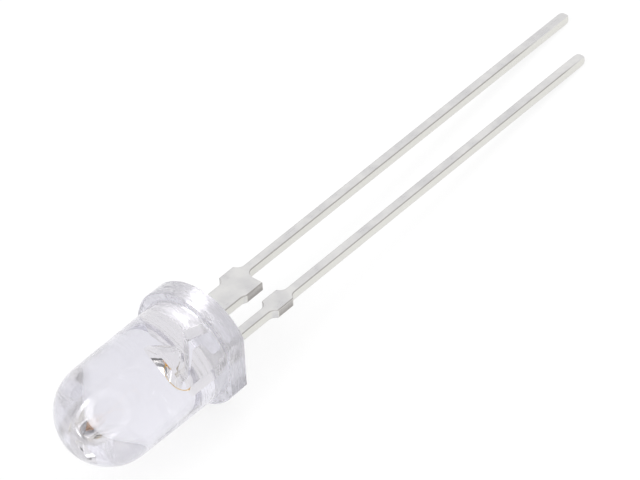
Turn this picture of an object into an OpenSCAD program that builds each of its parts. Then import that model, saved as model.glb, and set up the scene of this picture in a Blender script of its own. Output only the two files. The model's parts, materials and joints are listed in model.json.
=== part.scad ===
// Through-hole LED, 5 mm, with a clear round lens, lying as it comes to rest. Millimetres.
//
// Every piece is drawn in the LED's own frame: the origin on the lens axis at the flange's rear
// face, which is the seating plane, Z towards the dome, and X towards the flat on the flange. The
// sheet that the leads are stamped from lies in the plane y = 0. The module at_rest() then lays
// the pieces on the flange's rear rim and the tips of both legs, with the origin unmoved and +Z up.

/* [Lens] */
// Height of the lens, from the seating plane to the top of the dome
lens_h = 8.6; // [7.5:0.05:9.5]
// Diameter of the barrel, where it leaves the flange
barrel_d = 5.0; // [4.6:0.05:5.3]
// Draft of the barrel, in degrees, which lets the casting out of its mould cup
draft = 0.65; // [0:0.05:2]
// Diameter of the flange
flange_d = 5.9; // [5.6:0.05:6.3]
// Height of the flange
flange_h = 1.0; // [0.6:0.05:1.6]
// Distance from the axis to the flat that marks the cathode
flat_x = 2.6; // [2.5:0.02:2.8]
// Largest radius of the fillet between the barrel and the flange
root_r = 0.12; // [0.02:0.01:0.3]
// Radius of the flange's edge on the dome's side
rim_r = 0.1; // [0.02:0.01:0.3]

/* [Legs] */
// Distance between the two legs
pitch = 2.54; // [2:0.02:3]
// Thickness of the sheet that the leads are stamped from
sheet_t = 0.48; // [0.3:0.02:0.6]
// Width of a leg
leg_w = 0.46; // [0.3:0.02:0.6]
// Length of the anode's leg below the seating plane
anode_l = 27.9; // [8:0.1:30]
// Length of the cathode's leg below the seating plane
cathode_l = 25.9; // [8:0.1:30]
// Radius of the rounded corners at the tip of a leg
tip_r = 0.14; // [0.02:0.01:0.14]
// Width of the anode's neck, which carries the anvil
neck_w = 1.36; // [0.9:0.02:1.5]

/* [Dambar stubs] */
// Distance from the seating plane to the stubs
stub_z = 3.28; // [2:0.02:6]
// Height of the stubs, which is the width of the dambar that was cut away
stub_h = 1.0; // [0.5:0.05:1.5]
// How far the anode's stub stands out beyond its leg
anode_stub_out = 0.32; // [0.1:0.02:1]
// How far the anode's stub stands out beyond its neck, towards the cathode
anode_stub_in = 0.1; // [0.04:0.02:0.4]
// How far the cathode's stub stands out beyond its leg
cathode_stub_out = 0.24; // [0.1:0.02:0.6]
// How far the cathode's stub stands out beyond its leg, towards the anode
cathode_stub_in = 0.3; // [0.1:0.02:0.5]
// Radius of the fillets between a stub and its leg or neck, which the stub's cut ends run through
stub_fillet_r = 0.4; // [0.05:0.01:0.5]

/* [Anvil and reflector cup] */
// Height of the cup's rim above the seating plane
cup_z = 3.1; // [2.6:0.05:4]
// Diameter of the cup at its rim
cup_d = 1.24; // [1:0.02:1.4]
// Diameter of the cup's floor
cup_floor_d = 0.6; // [0.54:0.02:0.8]
// Depth of the cup
cup_depth = 0.4; // [0.3:0.02:0.6]
// Width of the rim round the cup
cup_rim_w = 0.1; // [0.04:0.01:0.2]
// Height of the head's straight wall
head_h = 0.2; // [0.05:0.01:0.4]
// Height of the funnel that the head narrows down to the sheet in
funnel_h = 1.0; // [0.6:0.05:1.4]
// Height above the seating plane at which the anvil starts to lean towards the post
lean_z = 1.07; // [0.9:0.01:1.4]
// Distance from the axis at which the anvil starts to lean towards the post
lean_x = 0.35; // [0.2:0.01:0.5]
// How far below the cup's rim the leaning edge reaches the side of the head
lean_drop = 0.6; // [0.4:0.02:0.9]
// Height of the anvil's shoulder, on the outside
shoulder_z = 2.12; // [1.6:0.02:2.4]
// Width of the corner cut off the shoulder
shoulder_cut_w = 0.46; // [0.1:0.02:0.8]
// Height of the corner cut off the shoulder
shoulder_cut_h = 0.7; // [0.1:0.02:1.2]

/* [Post] */
// Height above the seating plane at which the cathode's leg widens into the post
foot_z = 0.95; // [0.5:0.01:1.2]
// Height of the upright edge of the post's foot
foot_h = 0.55; // [0.3:0.01:0.8]
// Gap between the anvil's leaning edge and the post, measured along x
post_gap = 0.38; // [0.25:0.01:0.6]
// How far the post's top, where the wire is bonded, lies below the cup's rim
post_drop = 0.1; // [0:0.05:0.4]
// Width of the post's top
post_w = 0.5; // [0.3:0.01:0.7]
// How far the post stands out beyond its leg
post_out = 0.21; // [0.05:0.01:0.4]
// Largest radius of the fillets between the post's foot and its leg
foot_fillet_r = 0.12; // [0.05:0.01:0.3]

/* [Die and bonds] */
// Side of the square die
die_w = 0.28; // [0.2:0.02:0.32]
// Height of the die
die_h = 0.2; // [0.14:0.02:0.3]
// How far the puddle of conductive adhesive reaches beyond the die's corners
glue_margin = 0.05; // [0.02:0.01:0.1]
// Thickness of the adhesive under the die
glue_t = 0.02; // [0.01:0.005:0.05]
// Height to which the adhesive climbs the sides of the die
glue_climb = 0.07; // [0.03:0.01:0.12]
// Diameter of the bond wire
wire_d = 0.03; // [0.02:0.005:0.05]
// Height of the wire's arch above its two ends
wire_loop_h = 0.45; // [0.2:0.01:0.7]
// Diameter of the ball that bonds the wire to the die
ball_d = 0.09; // [0.06:0.01:0.14]
// Diameter of the stitch that bonds the wire to the post
stitch_d = 0.08; // [0.06:0.01:0.16]

/* [Hidden] */
$fn = 96;
lap = 0.01;             // how far the parts of one solid run into each other
reach = 2 * lens_h;     // longer than anything that it cuts

// Lens: the dome's radius follows from the height, the barrel and the draft, so that the drafted
// barrel runs into the dome without an edge.
flange_r = flange_d / 2;
barrel_r = barrel_d / 2;
root_fillet_r = min(root_r, flange_r - rim_r - barrel_r);
dome_r = (barrel_r - (lens_h - flange_h) * tan(draft)) / (cos(draft) - tan(draft) * (1 - sin(draft)));
dome_z = lens_h - dome_r;

// Legs: distances from the axis, along x
leg_outer = (pitch + leg_w) / 2;
leg_inner = (pitch - leg_w) / 2;
neck_inner = leg_outer - neck_w;

// Anvil: head_x is where the sheet's face meets the head's round wall.
head_r = cup_d / 2 + cup_rim_w;
head_z = cup_z - head_h;
head_x = sqrt(head_r * head_r - sheet_t * sheet_t / 4);
cup_floor_z = cup_z - cup_depth;
lean_top_z = cup_z - lean_drop;
lean = (head_x + lean_x) / (lean_top_z - lean_z);

// Post: its inner edge runs beside the anvil's leaning edge, until the post is as wide as its top.
post_z = cup_z - post_drop;
post_outer = leg_outer + post_out;
post_inner = post_outer - post_w;
foot_top_z = foot_z + foot_h;
foot_inner = beside_anvil(foot_top_z);
post_lean_top_z = lean_z + (post_inner + lean_x - post_gap) / lean;

function beside_anvil(z) = lean * (z - lean_z) - lean_x + post_gap;

// Die and bonds, on the axis
glue_d = die_w * sqrt(2) + 2 * glue_margin;
die_z = cup_floor_z + glue_t;
die_top_z = die_z + die_h;
glue_top_d = (glue_d + die_w) / 2;
ball_h = ball_d / 3;

// Wire: an arc of radius wire_r that turns through wire_turn to each side of its highest point
stitch_x = (post_outer + post_inner) / 2;
stitch_h = wire_d;
wire_from_z = die_top_z + ball_h / 2;
wire_to_z = post_z + stitch_h / 2;
wire_tilt = atan2(wire_to_z - wire_from_z, stitch_x);
wire_span = norm([stitch_x, wire_to_z - wire_from_z]);
wire_r = (wire_span * wire_span / 4 + wire_loop_h * wire_loop_h) / (2 * wire_loop_h);
wire_turn = asin(wire_span / (2 * wire_r));

// Resting pose: the floor's normal, in the LED's own frame, is along [-roll * nod, 1, nod]. This
// roll puts the tips of both legs on the floor, and this nod puts the flange's rim on it as well.
roll = (anode_l - cathode_l) / pitch;
tip_y = sheet_t / 2;
tip_z = anode_l - roll * (roll > 0 ? leg_inner : leg_outer)
    - tip_r * (1 + abs(roll) - norm([1, roll]));
nod_a = tip_z * tip_z - flange_r * flange_r * roll * roll;
nod_c = flange_r * flange_r - tip_y * tip_y;
nod = (sqrt(tip_z * tip_z * tip_y * tip_y + nod_a * nod_c) - tip_z * tip_y) / nod_a;
rest_up = unit([-roll * nod, 1, nod]);
rest_along = unit(rest_up * rest_up[2] - [0, 0, 1]);
rest_across = cross(rest_up, rest_along);

function unit(v) = v / norm(v);

// ---- drawing and placing ----

// Lays the LED down: its legs run towards +X, its flat faces -Y, and +Z is up.
module at_rest() {
    multmatrix([
        [rest_along[0], rest_along[1], rest_along[2], 0],
        [rest_across[0], rest_across[1], rest_across[2], 0],
        [rest_up[0], rest_up[1], rest_up[2], 0],
        [0, 0, 0, 1]
    ]) children();
}

// A stamping of the sheet, whose outline is drawn in x and z
module stamped() {
    rotate([90, 0, 0])
        linear_extrude(sheet_t, center = true)
            children();
}

// What fills an inside corner that lies at the origin and opens towards +x and +y
module corner_fill(r) {
    difference() {
        translate([-lap, -lap]) square(r + lap);
        translate([r, r]) circle(r);
    }
}

// ---- lens ----

// Half of the lens's section, for a lens with no flat
module lens_section() {
    square([flange_r, flange_h - rim_r]);
    square([flange_r - rim_r, flange_h]);
    translate([flange_r - rim_r, flange_h - rim_r]) circle(rim_r);
    polygon([
        [0, flange_h - lap],
        [barrel_r, flange_h - lap],
        [barrel_r, flange_h],
        [dome_r * cos(draft), dome_z + dome_r * sin(draft)],
        [0, dome_z + dome_r * sin(draft)]
    ]);
    translate([barrel_r, flange_h]) corner_fill(root_fillet_r);
    translate([0, dome_z])
        intersection() {
            circle(dome_r);
            square(dome_r);
        }
}

module lens_outside() {
    difference() {
        rotate_extrude() lens_section();
        translate([flat_x, -reach / 2, -reach / 2]) cube(reach);
    }
}

// The casting is solid, and leaves no air round what is cast into it.
module lens_body() {
    color("#e4e4ee", 0.35)
        at_rest()
            difference() {
                lens_outside();
                anode();
                cathode();
                adhesive();
                die();
                wire();
            }
}

// ---- leads ----

// A leg, from the seating plane down to its rounded tip
module leg(x0, l) {
    translate([x0, tip_r - l]) square([leg_w, l - tip_r + lap]);
    translate([x0 + tip_r, -l]) square([leg_w - 2 * tip_r, l]);
    for (x = [x0 + tip_r, x0 + leg_w - tip_r])
        translate([x, tip_r - l]) circle(tip_r);
}

// What is left of the dambar, from x0 to x1. It crosses a bar that runs from bar0 to bar1 on the
// dome's side, and from leg0 as wide as a leg on the other side.
module stub(x0, x1, bar0, bar1, leg0) {
    low_z = -stub_z - stub_h;
    intersection() {
        translate([x0, low_z - stub_fillet_r]) square([x1 - x0, stub_h + 2 * stub_fillet_r]);
        union() {
            translate([x0, low_z]) square([x1 - x0, stub_h]);
            translate([bar0, -stub_z]) mirror([1, 0]) corner_fill(stub_fillet_r);
            translate([bar1, -stub_z]) corner_fill(stub_fillet_r);
            translate([leg0, low_z]) rotate(180) corner_fill(stub_fillet_r);
            translate([leg0 + leg_w, low_z]) mirror([0, 1]) corner_fill(stub_fillet_r);
        }
    }
}

// Leg, neck, dambar stub and anvil
module anode_outline() {
    leg(-leg_outer, anode_l);
    translate([-leg_outer, -stub_z - stub_h]) square([neck_w, stub_z + stub_h + lap]);
    stub(-leg_outer - anode_stub_out, -neck_inner + anode_stub_in, -leg_outer, -neck_inner,
        -leg_outer);
    polygon([
        [-leg_outer, 0],
        [-leg_outer, shoulder_z - shoulder_cut_h],
        [-leg_outer + shoulder_cut_w, shoulder_z],
        [0, shoulder_z],
        [0, head_z + lap],
        [head_x - lap, head_z + lap],
        [head_x - lap, lean_top_z],
        [-lean_x, lean_z],
        [-neck_inner, 0]
    ]);
}

// The anode lead ends in a round head, struck up from the anvil, with the reflector cup in it.
module anode() {
    difference() {
        union() {
            stamped() anode_outline();
            translate([0, 0, head_z]) cylinder(h = head_h, r = head_r);
            translate([0, 0, head_z - funnel_h])
                cylinder(h = funnel_h + lap, r1 = sheet_t / 2, r2 = head_r);
        }
        translate([0, 0, cup_floor_z]) cylinder(h = cup_depth, d1 = cup_floor_d, d2 = cup_d);
    }
}

module anode_lead() {
    color("#c8c8cc") at_rest() anode();
}

// Leg, dambar stub and post
module cathode_outline() {
    leg(leg_inner, cathode_l);
    translate([leg_inner, 0]) square([leg_w, foot_z + lap]);
    stub(leg_inner - cathode_stub_in, leg_outer + cathode_stub_out, leg_inner, leg_outer, leg_inner);
    translate([leg_inner, foot_z])
        mirror([1, 1]) corner_fill(min(foot_fillet_r, leg_inner - foot_inner));
    translate([leg_outer, foot_z]) mirror([0, 1]) corner_fill(min(foot_fillet_r, post_out));
    intersection() {
        translate([foot_inner, foot_z]) square([post_outer - foot_inner, post_z - foot_z]);
        polygon([
            [foot_inner, foot_z],
            [reach, foot_z],
            [reach, post_lean_top_z + reach],
            [post_inner, post_lean_top_z + reach],
            [post_inner, post_lean_top_z],
            [foot_inner, foot_top_z]
        ]);
    }
}

module cathode() {
    stamped() cathode_outline();
}

module cathode_lead() {
    color("#c8c8cc") at_rest() cathode();
}

// ---- die and bonds ----

module die() {
    translate([-die_w / 2, -die_w / 2, die_z]) cube([die_w, die_w, die_h]);
}

module led_die() {
    color("#c4522e") at_rest() die();
}

// A puddle on the cup's floor that the die has sunk into
module adhesive() {
    difference() {
        translate([0, 0, cup_floor_z])
            cylinder(h = glue_t + glue_climb, d1 = glue_d, d2 = glue_top_d);
        die();
    }
}

module die_bond() {
    color("#9a9a9c") at_rest() adhesive();
}

// One arch, from the ball on the die to the stitch on the post
module wire() {
    translate([0, 0, die_top_z]) cylinder(h = ball_h, d = ball_d);
    translate([stitch_x, 0, post_z]) cylinder(h = stitch_h, d = stitch_d);
    translate([stitch_x / 2, 0, (wire_from_z + wire_to_z) / 2])
        rotate([90, -wire_tilt, 0])
            translate([0, wire_loop_h - wire_r])
                rotate([0, 0, 90 - wire_turn])
                    rotate_extrude(angle = 2 * wire_turn)
                        translate([wire_r, 0]) circle(d = wire_d);
}

module bond_wire() {
    color("#d9a93c") at_rest() wire();
}

lens_body();
anode_lead();
cathode_lead();
die_bond();
led_die();
bond_wire();
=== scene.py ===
# %% [markdown]
# # A through-hole LED, lying on a white table
#
# A clear 5 mm LED is six pieces: a cast epoxy lens, two leads stamped from one thin sheet, a die,
# the paste that holds the die in its cup, and a wire finer than a hair. The CAD model gives their
# main sizes. This script dresses them, one kind of piece at a time, and ends with the floor, the
# light and the camera.

import json
import math

import bmesh
import bpy
from mathutils import Matrix, Vector


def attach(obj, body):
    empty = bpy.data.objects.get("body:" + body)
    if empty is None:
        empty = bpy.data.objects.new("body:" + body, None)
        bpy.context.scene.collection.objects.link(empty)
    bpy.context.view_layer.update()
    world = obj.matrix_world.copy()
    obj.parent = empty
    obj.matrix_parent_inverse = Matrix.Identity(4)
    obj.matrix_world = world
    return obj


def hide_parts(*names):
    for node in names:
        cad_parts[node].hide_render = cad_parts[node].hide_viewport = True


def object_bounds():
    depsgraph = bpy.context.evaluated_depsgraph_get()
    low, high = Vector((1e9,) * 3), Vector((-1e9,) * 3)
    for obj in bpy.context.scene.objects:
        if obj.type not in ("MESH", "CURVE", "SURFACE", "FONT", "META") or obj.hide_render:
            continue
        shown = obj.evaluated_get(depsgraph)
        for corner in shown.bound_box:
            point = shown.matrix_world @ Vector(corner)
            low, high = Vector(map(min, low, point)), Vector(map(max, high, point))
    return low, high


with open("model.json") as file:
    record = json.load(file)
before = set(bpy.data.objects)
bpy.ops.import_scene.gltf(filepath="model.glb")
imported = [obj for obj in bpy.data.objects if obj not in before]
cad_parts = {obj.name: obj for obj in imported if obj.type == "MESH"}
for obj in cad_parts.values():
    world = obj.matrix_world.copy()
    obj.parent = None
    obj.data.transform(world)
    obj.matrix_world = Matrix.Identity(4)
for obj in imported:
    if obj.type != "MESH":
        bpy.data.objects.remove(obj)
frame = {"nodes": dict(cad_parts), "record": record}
cad_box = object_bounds()
node = frame["nodes"]
print("CAD nodes:", sorted(node))

# %% [markdown]
# ## The LED's own axes
#
# The LED lies tilted, on the rim of its flange and the tips of its legs, so none of its faces is
# square to the world. It is far easier to draw it upright: Z along the lens axis, X from the anode
# to the cathode, Y across the sheet, in millimetres. The record's mounts hold those directions,
# so one matrix can be built from them, and each finished mesh is carried over by it.

# %% Build the matrix from the LED's axes to the world
mounts = {mount["name"]: mount for mount in frame["record"]["mounts"]}
leg_at = {side: Vector(mounts[side + "_leg"]["pos_m"]) for side in ("anode", "cathode")}
lens_axis = -Vector(mounts["seating_face"]["axis"]).normalized()
across_legs = (leg_at["cathode"] - leg_at["anode"]).normalized()
turned = Matrix((across_legs, lens_axis.cross(across_legs), lens_axis)).transposed()
MM = 0.001
to_world = turned.to_4x4() @ Matrix.Scale(MM, 4)
leg_pitch = (leg_at["cathode"] - leg_at["anode"]).length / MM
print(f"lens axis {tuple(round(v, 4) for v in lens_axis)}, leg pitch {leg_pitch:.3f} mm")

# %% Measure a CAD node on the upright LED
from_world = to_world.inverted()


def upright_box(cad_node):
    """The lowest and highest corner of a CAD node on the upright LED, in millimetres."""
    points = [from_world @ vertex.co for vertex in node[cad_node].data.vertices]
    return [Vector(pick(point[axis] for point in points) for axis in range(3))
            for pick in (min, max)]


lens_low, lens_high = upright_box("lens_body")
for name in sorted(node):
    low, high = upright_box(name)
    print(f"{name}: x {low.x:.3f} to {high.x:.3f}, y {low.y:.3f} to {high.y:.3f}, "
          f"z {low.z:.3f} to {high.z:.3f} mm")

# %% [markdown]
# ## Helpers
#
# A node tree is easier to read when each node is one line, so one function adds a node with its
# settings and its links. Another turns a colour as a painter writes it, in sRGB hex, into the
# linear numbers that a shader needs.

# %% Helpers for node trees, colours and pieces
def add(tree, kind, inputs=None, **settings):
    """Adds one node. An input that is a socket is linked, and any other value is set."""
    made = tree.nodes.new(kind)
    for name, value in settings.items():
        setattr(made, name, value)
    for name, value in (inputs or {}).items():
        if isinstance(value, bpy.types.NodeSocket):
            tree.links.new(value, made.inputs[name])
        else:
            made.inputs[name].default_value = value
    return made


def linear(code):
    """The linear colour of an sRGB hex code."""
    parts = [int(code[i : i + 2], 16) / 255 for i in (1, 3, 5)]
    return (*(p / 12.92 if p <= 0.04045 else ((p + 0.055) / 1.055) ** 2.4 for p in parts), 1)


def finish_piece(piece, material_slot, *replaced):
    """Seats a finished piece: it rides on the LED's one body and stands for its CAD nodes."""
    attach(piece, "root")
    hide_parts(*replaced)
    spans = [(max(along) - min(along)) / MM
             for along in zip(*(vertex.co for vertex in piece.data.vertices))]
    print(f"{piece.name}: {len(piece.data.polygons)} faces, "
          + " x ".join(f"{span:.2f}" for span in spans) + " mm")


def new_object(name, mesh):
    """An object at the origin that holds a mesh and is part of the scene."""
    made = bpy.data.objects.new(name, mesh)
    bpy.context.scene.collection.objects.link(made)
    return made


# %% [markdown]
# ## The lens: a turned profile
#
# The lens is cast upside down in a polished mould cup, so it is a body of revolution: a flange, a
# barrel with a little draft, and a dome. It could be modelled from a cylinder and a sphere, but
# their seam would show as a kink in every reflection. A profile drawn once and rounded at its
# corners has no seam: the dome is just the corner between the barrel and the top, with the one
# radius that reaches the axis. Geometry Nodes suit it, because every size stays an input.

# %% Sizes of the lens, in millimetres, and its draft in radians
LENS = {
    "Height": lens_high.z,
    "Barrel Radius": 2.5,
    "Draft": math.radians(0.65),
    "Flange Radius": -lens_low.x,
    "Flange Height": 1.0,
    "Rim Radius": 0.1,
    "Root Radius": 0.12,
    "Rear Radius": 0.03,
}
FLAT_AT = lens_high.x

# %% Node tree that turns the lens
POINTS_IN_DOME = 72
POINTS_IN_FILLET = 8
POINTS_IN_REAR_EDGE = 4
MERGE_WITHIN = 0.0005  # mm: points closer than this are one


def math_node(tree, operation, a, b=0.0):
    """The result of one operation on two values."""
    return add(tree, "ShaderNodeMath", {0: a, 1: b}, operation=operation).outputs[0]


def lens_tree():
    """A Geometry Nodes tree that rounds the profile's corners and turns it about the axis."""
    tree = bpy.data.node_groups.new("turned_lens", "GeometryNodeTree")
    face = tree.interface
    face.new_socket("Geometry", in_out="INPUT", socket_type="NodeSocketGeometry")
    for name in LENS:
        face.new_socket(name, in_out="INPUT", socket_type="NodeSocketFloat")
    face.new_socket("Segments", in_out="INPUT", socket_type="NodeSocketInt")
    face.new_socket("Material", in_out="INPUT", socket_type="NodeSocketMaterial")
    face.new_socket("Geometry", in_out="OUTPUT", socket_type="NodeSocketGeometry")
    size = tree.nodes.new("NodeGroupInput").outputs

    # The barrel's radius where its side, drawn on, would meet the level of the top
    rise = math_node(tree, "SUBTRACT", size["Height"], size["Flange Height"])
    taper = math_node(tree, "MULTIPLY", rise, math_node(tree, "TANGENT", size["Draft"]))
    top_radius = math_node(tree, "SUBTRACT", size["Barrel Radius"], taper)
    half_corner = math_node(tree, "MULTIPLY_ADD", size["Draft"], 0.5)
    half_corner.node.inputs[2].default_value = math.pi / 4
    dome_radius = math_node(tree, "MULTIPLY", top_radius, math_node(tree, "TANGENT", half_corner))

    # Six corners from the middle of the rear face to the top of the dome
    corners = [
        (0.0, 0.0),
        (size["Flange Radius"], 0.0),
        (size["Flange Radius"], size["Flange Height"]),
        (size["Barrel Radius"], size["Flange Height"]),
        (top_radius, size["Height"]),
        (0.0, size["Height"]),
    ]
    radii = [0.0, size["Rear Radius"], size["Rim Radius"], size["Root Radius"], dome_radius, 0.0]
    points_in_arc = [1, POINTS_IN_REAR_EDGE, POINTS_IN_FILLET, POINTS_IN_FILLET,
                     POINTS_IN_DOME, 1]
    index = add(tree, "GeometryNodeInputIndex").outputs[0]

    def by_index(kind, values):
        """Gives each corner its own value."""
        switch = add(tree, "GeometryNodeIndexSwitch", data_type=kind)
        while len(switch.index_switch_items) < len(values):
            switch.index_switch_items.new()
        tree.links.new(index, switch.inputs["Index"])
        for number, value in enumerate(values):
            if isinstance(value, bpy.types.NodeSocket):
                tree.links.new(value, switch.inputs[number + 1])
            else:
                switch.inputs[number + 1].default_value = value
        return switch.outputs[0]

    places = [add(tree, "ShaderNodeCombineXYZ", {"X": x, "Y": z}).outputs[0] for x, z in corners]
    line = add(tree, "GeometryNodeMeshLine", {"Count": len(corners)})
    outline = add(tree, "GeometryNodeSetPosition",
                  {"Geometry": line.outputs[0], "Position": by_index("VECTOR", places)})
    outline = add(tree, "GeometryNodeMeshToCurve", {"Mesh": outline.outputs[0]})
    rounded = add(tree, "GeometryNodeFilletCurve",
                  {"Curve": outline.outputs[0], "Radius": by_index("FLOAT", radii),
                   "Count": by_index("INT", points_in_arc), "Limit Radius": True}, mode="POLY")
    circle = add(tree, "GeometryNodeCurvePrimitiveCircle",
                 {"Resolution": size["Segments"], "Radius": 1.0})
    # Sweeping stands the profile's Y on its head, so it is mirrored first
    shifted = add(tree, "GeometryNodeTransform",
                  {"Geometry": rounded.outputs[0], "Translation": (-1.0, 0.0, 0.0),
                   "Scale": (1.0, -1.0, 1.0)})
    swept = add(tree, "GeometryNodeCurveToMesh",
                {"Curve": circle.outputs[0], "Profile Curve": shifted.outputs[0]})
    closed = add(tree, "GeometryNodeMergeByDistance",
                 {"Geometry": swept.outputs[0], "Distance": MERGE_WITHIN})
    real = add(tree, "GeometryNodeRealizeInstances", {"Geometry": closed.outputs[0]})
    dressed = add(tree, "GeometryNodeSetMaterial",
                  {"Geometry": real.outputs[0], "Material": size["Material"]})
    add(tree, "NodeGroupOutput", {0: dressed.outputs[0]})
    return tree


# %% Run a tree, and shade a finished mesh
def grown(name, tree, values):
    """Runs a Geometry Nodes tree with the given inputs and returns its result as a plain mesh."""
    host = new_object(name, bpy.data.meshes.new(name))
    modifier = host.modifiers.new(tree.name, "NODES")
    modifier.node_group = tree
    for item in tree.interface.items_tree:
        if item.in_out == "INPUT" and item.name in values:
            modifier[item.identifier] = values[item.name]
    graph = bpy.context.evaluated_depsgraph_get()
    mesh = bpy.data.meshes.new_from_object(host.evaluated_get(graph))
    bpy.data.objects.remove(host)
    return mesh


SHARP = math.radians(25)


def shaded(mesh):
    """Carries an upright mesh to its place and shades it smooth, apart from its sharp edges.

    Normals weighted by area keep the large faces flat, so that only the rounds bend the light.
    """
    mesh.transform(to_world)
    mesh.shade_smooth()
    mesh.set_sharp_from_angle(angle=SHARP)
    host = new_object(mesh.name, mesh)
    weighting = host.modifiers.new("flat_faces", "WEIGHTED_NORMAL")
    weighting.weight, weighting.keep_sharp = 100, True
    graph = bpy.context.evaluated_depsgraph_get()
    weighted = bpy.data.meshes.new_from_object(host.evaluated_get(graph))
    bpy.data.objects.remove(host)
    return weighted


# %% [markdown]
# ## What clear cast epoxy is
#
# The lens is a two-part epoxy, cured in a polished mould: clear, very glossy, with an index of
# about 1.53. Makers add a trace of blue to hide the resin's own yellow, which gives the faint
# lavender cast of a clear LED. Two places are duller than the rest: the rear face, which has no
# mould over it while it cures, and the flat, which has the least polished part of the mould.
#
# The dome and barrel only have the mould's slight waviness, a bump with features of about 1 mm.
# The flange is the mould's mouth, and the resin shrinks away from it in fine ripples that run
# round the rim. They could be cut into the mesh, but they are only micrometres deep, so a bump
# stretched along the rim bends the light just as well and costs no faces.

# %% Clear cast epoxy
def between(tree, value, low, high, out_low=0.0, out_high=1.0):
    """A value carried from one range to another."""
    return add(tree, "ShaderNodeMapRange",
               {"Value": value, "From Min": low, "From Max": high, "To Min": out_low,
                "To Max": out_high}).outputs[0]


def material(name):
    """A new material and its node tree, still empty."""
    made = bpy.data.materials.new(name)
    made.use_nodes = True
    made.node_tree.nodes.clear()
    return made, made.node_tree


def led_place(tree):
    """Where a point of the surface lies on the upright LED, in millimetres."""
    place = add(tree, "ShaderNodeTexCoord").outputs["Object"]
    return add(tree, "ShaderNodeMapping",
               {"Vector": place, "Rotation": turned.to_euler(), "Scale": (MM, MM, MM)},
               vector_type="TEXTURE").outputs[0]


REAR_ROUGHNESS = 0.5
FLAT_ROUGHNESS = 0.25
LENS_COLOUR = "#E8E7EF"
EPOXY_INDEX = 1.53
RIPPLES_FADE = (0.9, 1.3)  # heights in mm: full on the flange, gone a little way up the barrel


def clear_cast_epoxy():
    """Clear, with a trace of lavender; all its gloss and its depth come from the index."""
    made, tree = material("clear_cast_epoxy")
    place = led_place(tree)
    x, _, z = add(tree, "ShaderNodeSeparateXYZ", {0: place}).outputs[:]
    rear = between(tree, z, 0.02, 0.0, 0.0, REAR_ROUGHNESS)
    flat = between(tree, x, FLAT_AT - 0.01, FLAT_AT, 0.0, FLAT_ROUGHNESS)
    roughness = math_node(tree, "MAXIMUM", rear, flat)
    waviness = add(tree, "ShaderNodeTexNoise",
                   {"Vector": place, "Scale": 0.9, "Detail": 1.0, "Roughness": 0.4}).outputs[0]
    wavy = add(tree, "ShaderNodeBump",
               {"Strength": 0.06, "Distance": 0.05 * MM, "Height": waviness}).outputs[0]
    # Ripples 0.6 mm long and 0.2 mm apart, drawn deeper than the real ones so that they show
    round_rim = add(tree, "ShaderNodeMapping",
                    {"Vector": place, "Scale": (1.6, 1.6, 5.6)}).outputs[0]
    ripples = add(tree, "ShaderNodeTexNoise",
                  {"Vector": round_rim, "Scale": 1.0, "Detail": 2.0}).outputs[0]
    rippled = add(tree, "ShaderNodeBump",
                  {"Strength": between(tree, z, *RIPPLES_FADE, 1.0, 0.0),
                   "Distance": 0.09 * MM, "Height": ripples, "Normal": wavy}).outputs[0]
    body = add(tree, "ShaderNodeBsdfPrincipled",
               {"Base Color": linear(LENS_COLOUR), "Roughness": roughness, "IOR": EPOXY_INDEX,
                "Transmission Weight": 1.0, "Normal": rippled})
    add(tree, "ShaderNodeOutputMaterial", {"Surface": body.outputs[0]})
    return made


epoxy = clear_cast_epoxy()

# %% [markdown]
# ## Cutting the flat
#
# The flat on the flange marks the cathode. It only touches the flange, so the turned body is cut
# by one plane and the cut is closed with one face. A boolean with a box would do the same, but it
# needs a second body.

# %% Make the lens
LENS_SEGMENTS = 256
CUT_WITHIN = 1e-6  # mm: a point this near a cutting plane lies on it


def lens_mesh():
    """The turned lens, cut at the flat and closed."""
    mesh = grown("clear_lens", lens_tree(),
                 {**LENS, "Segments": LENS_SEGMENTS, "Material": epoxy})
    work = bmesh.new()
    work.from_mesh(mesh)
    everything = work.verts[:] + work.edges[:] + work.faces[:]
    cut = bmesh.ops.bisect_plane(work, geom=everything, dist=CUT_WITHIN, clear_outer=True,
                                 plane_co=(FLAT_AT, 0, 0), plane_no=(1, 0, 0))["geom_cut"]
    rim_of_cut = [item for item in cut if isinstance(item, bmesh.types.BMEdge)]
    bmesh.ops.edgeloop_fill(work, edges=rim_of_cut)
    bmesh.ops.recalc_face_normals(work, faces=work.faces)
    work.to_mesh(mesh)
    open_edges = sum(not edge.is_manifold for edge in work.edges)
    print(f"lens: {work.calc_volume():.1f} cubic mm of epoxy, {open_edges} open edges")
    work.free()
    return shaded(mesh)


lens = new_object("clear_lens", lens_mesh())
finish_piece(lens, "epoxy", "lens_body")

# %% [markdown]
# ## What tin-plated steel is
#
# The leads are soft steel. Outside the lens they are dipped in tin, a soft grey-white metal with a
# touch of warmth. Rolling leaves a fine grain along the sheet, and handling leaves faint scuffs, so
# the roughness changes along the leg. The punched edges are painted greyer: painted shade for the
# dark line that each rounded edge shows along the leg, and it fades out near the tips. The cut
# sides between the edges are painted a little warmer, a painted tint for the warmer light that
# falls on them.
# Inside the epoxy the leads are plated with silver, which is whiter and far smoother. A single
# grey would do from far away, but not in a close view. The side that a face is on comes from its
# normal, so the colour follows the metal however the leg is turned.

# %% Tin-plated steel
def blended(tree, share, first, second):
    """Two colours mixed by a share."""
    return add(tree, "ShaderNodeMix", {0: share, 6: first, 7: second},
               data_type="RGBA").outputs[2]


SILVER_SMOOTHER = 0.25  # how rough the silver is, as a share of the tin's own roughness
EDGE_SHADE_FADE = (-25.6, -24.2)  # mm: the painted shade on the edges fades out between these heights, towards the tip


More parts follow.
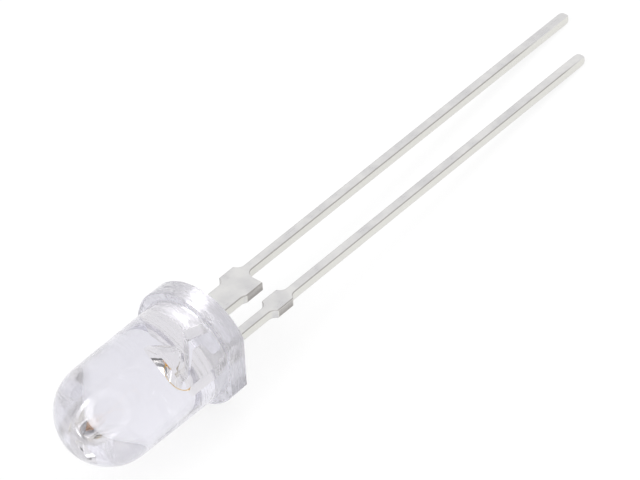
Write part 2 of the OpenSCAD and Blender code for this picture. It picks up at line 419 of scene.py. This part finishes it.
def tin_plated_steel():
    """A pale, slightly blurred mirror: painted shade along its edges, and a painted warmer tint on
    its cut sides.
    """
    made, tree = material("tin_plated_steel")
    place = led_place(tree)
    z = add(tree, "ShaderNodeSeparateXYZ", {0: place}).outputs["Z"]
    # Rolling grain: streaks 0.05 mm wide and 2 mm long, drawn coarser than the real ones
    grain_place = add(tree, "ShaderNodeMapping", {"Vector": place, "Scale": (20.0, 20.0, 0.5)})
    grain = add(tree, "ShaderNodeTexNoise", {"Vector": grain_place.outputs[0], "Scale": 1.0,
                                             "Detail": 3.0}).outputs[0]
    scuffs = add(tree, "ShaderNodeTexNoise", {"Vector": place, "Scale": 1.3,
                                              "Detail": 5.0}).outputs[0]
    wear = math_node(tree, "ADD", grain, scuffs)
    cast_in = between(tree, z, -0.3, 0.3)
    tin = blended(tree, between(tree, scuffs, 0.35, 0.65), linear("#D2D1D2"), linear("#E1E0DF"))
    # Which way the surface faces: along X on the cut sides, along Y on the sheet's own faces
    normal = add(tree, "ShaderNodeTexCoord").outputs["Normal"]
    along_x, along_y = (math_node(tree, "ABSOLUTE", add(
        tree, "ShaderNodeVectorMath", {0: normal, 1: turned.col[axis]},
        operation="DOT_PRODUCT").outputs["Value"]) for axis in (0, 1))
    # Painted light: the cut sides are tinted a little warmer than the sheet's faces, for the warmer
    # light that falls on them
    tin = blended(tree, between(tree, along_x, 0.85, 0.98), tin, linear("#E1E0DB"))
    # Painted shade: the rounded edges between the sheet's faces and the cut sides are darkened to a
    # grey line, which fades out near the tip
    corner = between(tree, math_node(tree, "MULTIPLY", along_x, along_y), 0.15, 0.45)
    painted_edge_shade = math_node(tree, "MULTIPLY", corner, between(tree, z, *EDGE_SHADE_FADE))
    tin = blended(tree, painted_edge_shade, tin, linear("#A9A6A3"))
    colour = blended(tree, cast_in, tin, linear("#F6F5F2"))
    tin_roughness = between(tree, wear, 0.7, 1.3, 0.26, 0.4)
    roughness = math_node(tree, "MULTIPLY", tin_roughness,
                          between(tree, cast_in, 0.0, 1.0, 1.0, SILVER_SMOOTHER))
    bump = add(tree, "ShaderNodeBump", {"Strength": 0.15, "Distance": 0.004 * MM,
                                        "Height": grain}).outputs[0]
    body = add(tree, "ShaderNodeBsdfPrincipled",
               {"Base Color": colour, "Metallic": 1.0, "Roughness": roughness, "Normal": bump})
    add(tree, "ShaderNodeOutputMaterial", {"Surface": body.outputs[0]})
    return made


plated = tin_plated_steel()

# %% [markdown]
# ## What a sheared end is
#
# The stubs are what is left of the dambar, a bridge that holds the leads side by side until the
# lens has been cast. A tool then shears it away, after the plating, so its cut ends are bare
# steel: burnished where the blade went in, torn and dark where the metal broke. They are the
# darkest things on an LED, and a finish of their own gives them that.

# %% Sheared steel
def sheared_steel(sheet):
    """Bare steel: darker than the tin beside it, smooth where it was cut and rough where torn."""
    made, tree = material("sheared_steel")
    place = led_place(tree)
    y = add(tree, "ShaderNodeSeparateXYZ", {0: place}).outputs["Y"]
    # The blade came from the top face: scores 0.04 mm apart run across the sheet
    scores = add(tree, "ShaderNodeTexNoise", {
        "Vector": add(tree, "ShaderNodeMapping", {"Vector": place, "Scale": (6.0, 3.0, 24.0)}
                      ).outputs[0], "Scale": 1.0, "Detail": 3.0}).outputs[0]
    torn = add(tree, "ShaderNodeTexNoise", {"Vector": place, "Scale": 14.0,
                                            "Detail": 4.0}).outputs[0]
    depth = math_node(tree, "ADD", y, between(tree, scores, 0.3, 0.7, -0.06, 0.06))
    burnished = between(tree, depth, -0.2 * sheet, 0.15 * sheet)
    bare = blended(tree, torn, linear("#9C9896"), linear("#C6C3C0"))
    colour = blended(tree, burnished, bare, linear("#B9B6B4"))
    roughness = between(tree, burnished, 0.0, 1.0, 0.6, 0.35)
    bump = add(tree, "ShaderNodeBump", {"Strength": 0.6, "Distance": 0.02 * MM,
                                        "Height": math_node(tree, "ADD", scores, torn)}).outputs[0]
    body = add(tree, "ShaderNodeBsdfPrincipled",
               {"Base Color": colour, "Metallic": 1.0, "Roughness": roughness, "Normal": bump})
    add(tree, "ShaderNodeOutputMaterial", {"Surface": body.outputs[0]})
    return made


SHEET = 2 * upright_box("cathode_lead")[1].y
sheared = sheared_steel(SHEET)

# %% [markdown]
# ## The leads: stampings with eased edges
#
# Both leads are punched from one sheet of soft steel, 0.48 mm thick. Their CAD solids already have
# the right outline, with square edges. The punch rolls those edges over and the tin softens them
# further, so each edge draws a thin line of light or shade along the leg. A copy of the CAD mesh
# has its flat faces joined up again, and its sharp edges are given a small round. Drawing the
# outline anew would work too, but this way the leads can't drift from the model. Edges that reach
# higher than 1.7 mm above the seat keep what the model gives them, since some of those are shorter
# than the round.
# Molten tin gathers at the ends of the legs and rounds them, so some extra cuts through the last
# 0.4 mm let the square section turn towards an oval and taper.

# %% Ease the edges of the stamped leads
EDGE_ROUND = 0.06
EDGE_STEPS = 4
END_LENGTH = 0.4  # the stretch of each leg, in mm, that ends rounder than it began
END_OVAL = 0.35  # how far its section goes from a square to an oval
END_CUTS = (0.0, 0.15, 0.3, 0.45, 0.6, 0.7, 0.8, 0.87, 0.93, 0.97, 0.99)  # shares of the stretch
END_SLICES = (-0.45, 0.0, 0.45)  # shares of half a leg's width, from its middle
TIP_TAPER = 0.26  # the stretch before the tip, in mm, over which the leg gets thinner
TIP_THINS = 0.5  # 0 keeps the thickness at the tip, 1 brings it to an edge
JUST_OVER = 0.001  # mm, to take in points that lie on a limit
SAME_POINT = 1e-5  # mm
FLAT_WITHIN = math.radians(0.5)  # faces that turn by less than this are one flat face
FACES_ASIDE = 0.98  # the least that the normal of a sheared end lies along X
FINE_ABOVE = 1.7  # mm above the seat: sharp edges that reach higher stay as they are
DAMBAR = (-4.25, -3.35)  # mm above the seat, where the dambar was sheared away


def is_sheared(face):
    """Whether a face is one of the cut ends that the dambar left."""
    height = face.calc_center_median().z
    return abs(face.normal.x) > FACES_ASIDE and DAMBAR[0] < height < DAMBAR[1]


def cut_end(work, tip, place, normal):
    """Adds a line of vertices where a plane crosses the faces at the end of a leg."""
    end = {vertex for vertex in work.verts if vertex.co.z < tip + END_LENGTH + JUST_OVER}
    faces = [face for face in work.faces if end.intersection(face.verts)]
    edges = {edge for face in faces for edge in face.edges}
    verts = {vertex for face in faces for vertex in face.verts}
    bmesh.ops.bisect_plane(work, geom=[*verts, *edges, *faces], dist=CUT_WITHIN,
                           plane_co=place, plane_no=normal)


def draw_round(vertex, tip, middle, half_width):
    """Draws a vertex near the tip of a leg in, the way molten tin rounds the end."""
    height = vertex.co.z - tip
    if height < END_LENGTH:
        share = 1 - height / END_LENGTH
        aside = Vector((vertex.co.x - middle, vertex.co.y)) / half_width
        squareness = max(abs(aside.x), abs(aside.y)) / aside.length  # 1 mid-side, 0.7 in a corner
        eased_in = share * share * (3 - 2 * share)
        inwards = 1 - END_OVAL * eased_in * (1 - squareness)
        vertex.co.x = middle + (vertex.co.x - middle) * inwards
        vertex.co.y *= inwards
    if height < TIP_TAPER:
        vertex.co.y *= math.sqrt(1 - TIP_THINS * (1 - height / TIP_TAPER) ** 2)


def eased_copy(name, cad_node, finishes):
    """A lead's CAD mesh with its large edges and the end of its leg rounded."""
    mesh = node[cad_node].data.copy()
    mesh.name = name
    mesh.transform(from_world)
    tip = min(vertex.co.z for vertex in mesh.vertices)
    work = bmesh.new()
    work.from_mesh(mesh)
    bmesh.ops.remove_doubles(work, verts=work.verts, dist=SAME_POINT)
    bmesh.ops.dissolve_limit(work, angle_limit=FLAT_WITHIN, verts=work.verts,
                             edges=work.edges)
    sharp = [edge for edge in work.edges if edge.calc_face_angle(0) > SHARP]
    large = [edge for edge in sharp if max(vertex.co.z for vertex in edge.verts) <= FINE_ABOVE]
    bmesh.ops.bevel(work, geom=large, offset=EDGE_ROUND, offset_type="OFFSET",
                    segments=EDGE_STEPS, profile=0.5, affect="EDGES", clamp_overlap=False)
    across = [vertex.co.x for vertex in work.verts if vertex.co.z < tip + END_LENGTH]
    middle, half_width = (max(across) + min(across)) / 2, (max(across) - min(across)) / 2
    for share in END_CUTS:
        cut_end(work, tip, (0, 0, tip + END_LENGTH * (1 - share)), (0, 0, 1))
    for share in END_SLICES:
        cut_end(work, tip, (middle + share * half_width, 0, 0), (1, 0, 0))
        cut_end(work, tip, (0, share * half_width, 0), (0, 1, 0))
    for vertex in work.verts:
        draw_round(vertex, tip, middle, half_width)
    for face in work.faces:
        face.material_index = int(is_sheared(face))
    cut_ends = sum(face.material_index for face in work.faces)
    open_edges = sum(not edge.is_manifold for edge in work.edges)
    print(f"{name}: {len(large)} of {len(sharp)} sharp edges rounded, {cut_ends} sheared faces, "
          f"{open_edges} open edges")
    mesh.materials.clear()
    for finish in finishes:
        mesh.materials.append(finish)
    work.to_mesh(mesh)
    work.free()
    return shaded(mesh)


# %% Make the leads
for side in ("anode", "cathode"):
    lead = new_object(side + "_stamping",
                      eased_copy(side + "_stamping", side + "_lead", [plated, sheared]))
    finish_piece(lead, "lead_metal", side + "_lead")

# %% [markdown]
# ## The die
#
# The die is a crystal block about a quarter of a millimetre wide, sawn from a wafer. The saw goes
# in twice, first a wide blade and then a narrow one, so the block is a little slimmer above a
# step. On its top lies a round gold pad, to which the wire is bonded. A plain cube would lose
# both, so the block is built from square rings stacked up its height, and the pad is a low disc.

# %% Die crystal and bond pad
def die_crystal():
    """Sawn crystal: glossy and amber, with fine marks round its sides."""
    made, tree = material("die_crystal")
    place = led_place(tree)
    # Saw marks 0.01 mm apart run round the sides
    saw = add(tree, "ShaderNodeTexNoise", {
        "Vector": add(tree, "ShaderNodeMapping", {"Vector": place, "Scale": (8.0, 8.0, 90.0)}
                      ).outputs[0], "Scale": 1.0, "Detail": 2.0}).outputs[0]
    colour = blended(tree, saw, linear("#E0AA82"), linear("#F2CDAA"))
    bump = add(tree, "ShaderNodeBump", {"Strength": 0.3, "Distance": 0.004 * MM,
                                        "Height": saw}).outputs[0]
    body = add(tree, "ShaderNodeBsdfPrincipled",
               {"Base Color": colour, "Roughness": between(tree, saw, 0.3, 0.7, 0.18, 0.34),
                "IOR": 2.6, "Normal": bump})
    add(tree, "ShaderNodeOutputMaterial", {"Surface": body.outputs[0]})
    return made


def bright_gold():
    """Soft pure gold: a warm, fairly sharp mirror."""
    made, tree = material("bright_gold")
    grain = add(tree, "ShaderNodeTexNoise", {"Vector": led_place(tree), "Scale": 60.0,
                                             "Detail": 2.0}).outputs[0]
    colour = blended(tree, grain, linear("#EFC15A"), linear("#F6D27C"))
    body = add(tree, "ShaderNodeBsdfPrincipled",
               {"Base Color": colour, "Metallic": 1.0,
                "Roughness": between(tree, grain, 0.3, 0.7, 0.14, 0.26)})
    add(tree, "ShaderNodeOutputMaterial", {"Surface": body.outputs[0]})
    return made


gold = bright_gold()

# %% Make the die
AROUND = 48  # points round the die, its pad and the paste
CHIP = 0.004  # mm chipped off the edges at its foot and its top
CORNER = 0.01  # mm by which its upright corners are cut back
STEP_AT = 0.6  # how far up the die the wide blade stopped
STEP_RISE = 0.002  # mm of height over which the step draws in
KERF = 0.008  # mm that each side is further in above the step
LEAN = 0.003  # mm that each side then leans in
PAD_RADIUS, PAD_TALL = 0.055, 0.008
PAD_SUNK = 0.001  # mm of the pad inside the crystal
PAD_EDGE = (0.003, 0.001)  # mm cut off its top edge, inwards and down


def ring(work, height, radius_at, segments):
    """One closed ring of vertices at a height, whose radius depends on the angle."""
    turns = [2 * math.pi * (step + 0.5) / segments for step in range(segments)]
    return [work.verts.new((radius_at(turn) * math.cos(turn), radius_at(turn) * math.sin(turn),
                            height)) for turn in turns]


def stacked(work, rings, finish=0):
    """Joins rings into a closed body, with a flat face at each end."""
    faces = [work.faces.new(reversed(rings[0])), work.faces.new(rings[-1])]
    for lower, upper in zip(rings, rings[1:]):
        for step in range(len(lower)):
            after = (step + 1) % len(lower)
            faces.append(work.faces.new((lower[step], lower[after], upper[after], upper[step])))
    for face in faces:
        face.material_index = finish
    return faces


def rounded_square(half, corner):
    """Radius at an angle of a square whose corners are cut back by a small round."""
    def radius_at(turn):
        """The distance from the axis at an angle."""
        flat = half / max(abs(math.cos(turn)), abs(math.sin(turn)))
        return min(flat, half * math.sqrt(2) - corner)
    return radius_at


def die_mesh():
    """The die as square rings stacked up its height, with a low round pad on its top."""
    low, high = upright_box("led_die")
    half, tall = high.x, high.z - low.z
    step_at, crystal_top = STEP_AT * tall, tall - PAD_TALL
    slim = half - KERF - LEAN
    sides = [(0.0, half - CHIP), (CHIP, half), (step_at, half),
             (step_at + STEP_RISE, half - KERF), (crystal_top - CHIP, slim),
             (crystal_top, slim - CHIP)]
    pad = [(crystal_top - PAD_SUNK, PAD_RADIUS), (tall - PAD_EDGE[1], PAD_RADIUS),
           (tall, PAD_RADIUS - PAD_EDGE[0])]
    work = bmesh.new()
    stacked(work, [ring(work, low.z + height, rounded_square(side, CORNER), AROUND)
                   for height, side in sides])
    stacked(work, [ring(work, low.z + height, lambda turn, size=size: size, AROUND)
                   for height, size in pad], finish=1)
    mesh = bpy.data.meshes.new("die_block")
    work.to_mesh(mesh)
    work.free()
    mesh.materials.append(die_crystal())
    mesh.materials.append(gold)
    mesh.transform(to_world)
    mesh.shade_smooth()
    mesh.set_sharp_from_angle(angle=SHARP)
    return mesh


finish_piece(new_object("die_block", die_mesh()), "die", "led_die")

# %% [markdown]
# ## The paste under the die
#
# A dab of epoxy paste, filled with silver flakes, glues the die into the cup. It spreads into a
# round puddle and climbs the sides of the die in a hollow curve, as water climbs a glass. Its
# outline therefore changes from round at the foot to square at the die, which rings with a
# radius that blends the two shapes can follow.

# %% Silver-filled paste
def silver_paste():
    """Partly metallic and blurred, with a small bump for each flake."""
    made, tree = material("silver_paste")
    flakes = add(tree, "ShaderNodeTexVoronoi", {"Vector": led_place(tree), "Scale": 70.0})
    colour = blended(tree, flakes.outputs["Distance"], linear("#F2F2F2"), linear("#CECED2"))
    bump = add(tree, "ShaderNodeBump", {"Strength": 0.5, "Distance": 0.004 * MM,
                                        "Height": flakes.outputs["Distance"]}).outputs[0]
    body = add(tree, "ShaderNodeBsdfPrincipled",
               {"Base Color": colour, "Metallic": 0.4, "Roughness": 0.4, "Normal": bump})
    add(tree, "ShaderNodeOutputMaterial", {"Surface": body.outputs[0]})
    return made


FOOT = 0.006  # mm: how high the puddle's rounded foot is, and how far it draws in
LUMPS = 0.006  # mm that the puddle's outline swells and shrinks, three times round
FILM = 0.002  # mm of paste left on the die's sides
CLIMB_STEPS = 8
HOLLOW = 2.2  # above 1, the paste climbs in a hollow curve


def paste_mesh():
    """The paste as rings that go from a lumpy circle at the foot to a square at the die."""
    low, high = upright_box("die_bond")
    square = rounded_square(upright_box("led_die")[1].x, CORNER)
    wide, climb = high.x - LUMPS, high.z - low.z - FOOT
    work = bmesh.new()
    rings = [ring(work, low.z, lambda turn: wide - FOOT, AROUND)]
    for step in range(CLIMB_STEPS + 1):
        share = step / CLIMB_STEPS

        def radius_at(turn, share=share):
            """The ring's radius at an angle."""
            lumps = LUMPS * math.sin(3 * turn + 1) * (1 - share)
            return (wide + lumps) * (1 - share) + (square(turn) + FILM) * share
        rings.append(ring(work, low.z + FOOT + climb * share ** HOLLOW, radius_at, AROUND))
    stacked(work, rings)
    mesh = bpy.data.meshes.new("paste_fillet")
    work.to_mesh(mesh)
    work.free()
    mesh.materials.append(silver_paste())
    mesh.transform(to_world)
    mesh.shade_smooth()
    return mesh


finish_piece(new_object("paste_fillet", paste_mesh()), "adhesive", "die_bond")

# %% [markdown]
# ## The bond wire
#
# A gold wire of 0.03 mm carries the current from the die to the post. A flame melts its end into
# a ball, which is pressed on the pad. The tool then pulls a loop, and squashes the other end on
# the post. So the wire rises straight from the ball and comes down at a slant. It follows a path,
# which is what Geometry Nodes are best at: one curve, swept by a circle, and a squashed ball at
# each end.

# %% Node tree of the wire
def wire_tree():
    """A Geometry Nodes tree that sweeps the loop and squashes a drop of gold at each end."""
    tree = bpy.data.node_groups.new("bonded_wire", "GeometryNodeTree")
    face = tree.interface
    for name in ("Start", "End"):
        face.new_socket(name, in_out="INPUT", socket_type="NodeSocketVector")
    for name in ("Loop Height", "Wire Diameter", "Ball Diameter", "Ball Height",
                 "Stitch Diameter"):
        face.new_socket(name, in_out="INPUT", socket_type="NodeSocketFloat")
    face.new_socket("Material", in_out="INPUT", socket_type="NodeSocketMaterial")
    face.new_socket("Geometry", in_out="OUTPUT", socket_type="NodeSocketGeometry")
    size = tree.nodes.new("NodeGroupInput").outputs

    # A Bezier segment rises to three quarters of its handles' height
    lift = math_node(tree, "MULTIPLY", size["Loop Height"], 4 / 3)
    up = add(tree, "ShaderNodeCombineXYZ", {"Z": lift}).outputs[0]
    slant = add(tree, "ShaderNodeCombineXYZ",
                {"X": math_node(tree, "MULTIPLY", lift, -0.5), "Z": lift}).outputs[0]

    def moved(place, by):
        """A place, shifted."""
        return add(tree, "ShaderNodeVectorMath", {0: place, 1: by}).outputs[0]

    path = add(tree, "GeometryNodeCurvePrimitiveBezierSegment",
               {"Resolution": 48, "Start": size["Start"], "Start Handle": moved(size["Start"], up),
                "End Handle": moved(size["End"], slant), "End": size["End"]})
    section = add(tree, "GeometryNodeCurvePrimitiveCircle", {
        "Resolution": 12, "Radius": math_node(tree, "MULTIPLY", size["Wire Diameter"], 0.5)})
    drawn = add(tree, "GeometryNodeCurveToMesh",
                {"Curve": path.outputs[0], "Profile Curve": section.outputs[0],
                 "Fill Caps": True})
    joined = [drawn.outputs[0]]
    for at, wide, tall in (("Start", size["Ball Diameter"], size["Ball Height"]),
                           ("End", size["Stitch Diameter"], size["Wire Diameter"])):
        drop = add(tree, "GeometryNodeMeshUVSphere", {"Segments": 24, "Rings": 12, "Radius": 0.5})
        squash = add(tree, "ShaderNodeCombineXYZ", {"X": wide, "Y": wide, "Z": tall}).outputs[0]
        joined.append(add(tree, "GeometryNodeTransform",
                          {"Geometry": drop.outputs[0], "Translation": size[at],
                           "Scale": squash}).outputs[0])
    together = add(tree, "GeometryNodeJoinGeometry")
    for piece in joined:
        tree.links.new(piece, together.inputs[0])
    smooth = add(tree, "GeometryNodeSetShadeSmooth", {"Geometry": together.outputs[0]})
    real = add(tree, "GeometryNodeRealizeInstances", {"Geometry": smooth.outputs[0]})
    dressed = add(tree, "GeometryNodeSetMaterial",
                  {"Geometry": real.outputs[0], "Material": size["Material"]})
    add(tree, "NodeGroupOutput", {0: dressed.outputs[0]})
    return tree


# %% Make the wire
WIRE = 0.03
BALL, BALL_TALL = 0.09, 0.045
BALL_RISE = 0.02  # mm from the die's top up to the ball's middle
STITCH = 0.08
LOOP_LESS = 0.06  # mm taken off the loop; its top then lies 0.014 mm above the CAD wire's
wire_high = upright_box("bond_wire")[1]
die_top = upright_box("led_die")[1].z
post_top = upright_box("cathode_lead")[1].z
wire_mesh = grown("gold_wire", wire_tree(), {
    "Start": (0.0, 0.0, die_top + BALL_RISE),
    "End": (wire_high.x - STITCH / 2, 0.0, post_top + WIRE / 2),
    "Loop Height": wire_high.z - die_top - LOOP_LESS,
    "Wire Diameter": WIRE, "Ball Diameter": BALL, "Ball Height": BALL_TALL,
    "Stitch Diameter": STITCH, "Material": gold})
wire_mesh.transform(to_world)
finish_piece(new_object("gold_wire", wire_mesh), "gold", "bond_wire")

# %% [markdown]
# ## The white table
#
# Small parts are laid out on white card, often lit from below, so that the ground round them is
# plain white with next to no shadow. A card that only scatters light would go grey under the LED
# and show grey through the lens. So the card is given some light of its own, for the camera and
# for what the lens and the metal show of it, and the rest of it scatters, which keeps a soft
# contact shadow.

# %% Floor
FLOOR_AT = cad_box[0].z
FLOOR_HALF = 0.6  # half the side of the card, in metres
GLOW_SHARE = 0.8  # how much of what the camera, the lens and the metal see is the card's own light


def white_card():
    """Card that scatters light, and partly glows for the camera, the lens and the metal."""
    made, tree = material("white_card")
    paths = add(tree, "ShaderNodeLightPath").outputs
    seen = math_node(tree, "MAXIMUM", paths["Is Camera Ray"],
                     math_node(tree, "MAXIMUM", paths["Is Glossy Ray"],
                               paths["Is Transmission Ray"]))
    scattering = add(tree, "ShaderNodeBsdfDiffuse", {"Color": (0.97, 0.97, 0.97, 1)})
    glowing = add(tree, "ShaderNodeEmission", {"Color": (1, 1, 1, 1), "Strength": 1.0})
    both = add(tree, "ShaderNodeMixShader", {
        0: math_node(tree, "MULTIPLY", seen, GLOW_SHARE), 1: scattering.outputs[0],
        2: glowing.outputs[0]})
    add(tree, "ShaderNodeOutputMaterial", {"Surface": both.outputs[0]})
    return made


floor_mesh = bpy.data.meshes.new("floor")
floor_mesh.from_pydata([(x * FLOOR_HALF, y * FLOOR_HALF, FLOOR_AT)
                        for x, y in ((-1, -1), (1, -1), (1, 1), (-1, 1))], [], [(0, 1, 2, 3)])
floor = new_object("floor", floor_mesh)
floor_mesh.materials.append(white_card())
print(f"floor at z = {FLOOR_AT / MM:.3f} mm")

# %% [markdown]
# ## The light tent
#
# Clear epoxy and bright metal have next to no colour of their own: they show what stands round
# them. So the light is a surrounding, not a lamp. It is a white tent with a round opening in its
# front panel. A lamp to the left shines on that panel, so that it is brightest left of the
# opening, and the dome shows it as a crescent. There are also two places where the panels don't
# quite meet. They give the polished cup something dark to show, without which silver looks like
# chalk. Lamps on stands would do too, but a node tree on the world draws the tent exactly, and
# adds no noise.

# %% World
# Directions are an azimuth and a height in degrees. Light is 1 where white card renders white.
LEVEL = 1.0
OPENING = (-129.3, 42.6)
OPENING_ADDS = -0.12  # a little darker than the tent
PANEL = (28.0, 34.0, 46.0, 52.0)  # degrees from the opening where the panel fades in and out
PANEL_ADDS = 0.6
LAMP = (178.0, 36.0, 10.0, 32.0)  # direction, then the radii of its full and its faded light
LAMP_ADDS = 4.0
GAPS = ((-172.0, -4.0, 17.0, 18.5), (112.0, 36.0, 12.0, 16.0))  # direction and radii, as above
GAP_KEEPS = 0.15  # the share of the light that still comes from a gap


def direction(azimuth, height):
    """The unit vector of an azimuth and a height."""
    turn, rise = math.radians(azimuth), math.radians(height)
    return (math.cos(turn) * math.cos(rise), math.sin(turn) * math.cos(rise), math.sin(rise))


def light_tent():
    """The tent, with a plain white backdrop for the camera itself."""
    world = bpy.data.worlds.new("light_tent")
    world.use_nodes = True
    tree = world.node_tree
    tree.nodes.clear()
    paths = add(tree, "ShaderNodeLightPath").outputs
    towards = add(tree, "ShaderNodeTexCoord").outputs["Generated"]

    def facing(azimuth, height):
        """Cosine of the angle between where a ray goes and a direction."""
        return add(tree, "ShaderNodeVectorMath", {0: towards, 1: direction(azimuth, height)},
                   operation="DOT_PRODUCT").outputs["Value"]

    def within(cosine, inner, outer):
        """1 inside a cone, 0 outside a wider one, and a fade between the two."""
        return between(tree, cosine, math.cos(math.radians(outer)), math.cos(math.radians(inner)))

    def plus(level, share, added):
        """A level with a share of something added to it."""
        return math_node(tree, "ADD", level, math_node(tree, "MULTIPLY", share, added))

    front = facing(*OPENING)
    hole = within(front, PANEL[0], PANEL[1])
    panel = math_node(tree, "SUBTRACT", within(front, PANEL[2], PANEL[3]), hole)
    lamp = within(facing(*LAMP[:2]), *LAMP[2:])
    level = plus(plus(LEVEL, hole, OPENING_ADDS), panel, plus(PANEL_ADDS, lamp, LAMP_ADDS))
    for azimuth, height, inner, outer in GAPS:
        gap = within(facing(azimuth, height), inner, outer)
        level = math_node(tree, "MULTIPLY", level, between(tree, gap, 0.0, 1.0, 1.0, GAP_KEEPS))
    sky = add(tree, "ShaderNodeBackground", {"Color": (1, 1, 1, 1), "Strength": level})
    backdrop = add(tree, "ShaderNodeBackground", {"Color": (1, 1, 1, 1), "Strength": 1.0})
    seen = add(tree, "ShaderNodeMixShader", {0: paths["Is Camera Ray"], 1: sky.outputs[0],
                                             2: backdrop.outputs[0]})
    add(tree, "ShaderNodeOutputWorld", {"Surface": seen.outputs[0]})
    return world


bpy.context.scene.world = light_tent()

# %% [markdown]
# ## The camera
#
# A long lens from a distance keeps the two legs nearly parallel and shows the round flange as a
# clean ellipse. The camera looks down past the dome, so the cup and the wire can be seen through
# the lens.

# %% Camera
CAMERA_AT = Vector((-101.7526, -124.1445, 147.3711))  # mm
# Where the camera's own right and up point; its right side dips a little
CAMERA_RIGHT = Vector((0.632918, -0.756553, -0.164412))
CAMERA_UP = Vector((0.595816, 0.340369, 0.727436))

camera_data = bpy.data.cameras.new("camera")
camera_data.lens, camera_data.sensor_width = 275.0, 36.0  # mm
camera_data.clip_start, camera_data.clip_end = 0.01, 10.0  # metres
camera = bpy.data.objects.new("camera", camera_data)
bpy.context.scene.collection.objects.link(camera)
turn_camera = Matrix((CAMERA_RIGHT, CAMERA_UP, CAMERA_RIGHT.cross(CAMERA_UP))).transposed()
camera.matrix_world = Matrix.Translation(CAMERA_AT * MM) @ turn_camera.to_4x4()
bpy.context.scene.camera = camera
print(f"camera {camera.matrix_world.translation.length / MM:.0f} mm from the LED's origin")

# %% [markdown]
# ## Light in a clear body
#
# A ray that goes into clear resin can strike its walls many times before it leaves. Cycles stops it
# after a set number of bounces and paints it black, so a clear part is given more bounces than a
# solid one. The default of 12 leaves the flange slightly darker, and past 48 next to nothing
# changes here.

# %% Light paths
BOUNCES = 48
MIRROR_BOUNCES = 16

cycles = bpy.context.scene.cycles
cycles.max_bounces = cycles.transmission_bounces = BOUNCES
cycles.glossy_bounces = MIRROR_BOUNCES

# %% [markdown]
# ## Finish
#
# The colours are shown as they are.

# %% Finish
bpy.context.scene.view_settings.view_transform = "Standard"
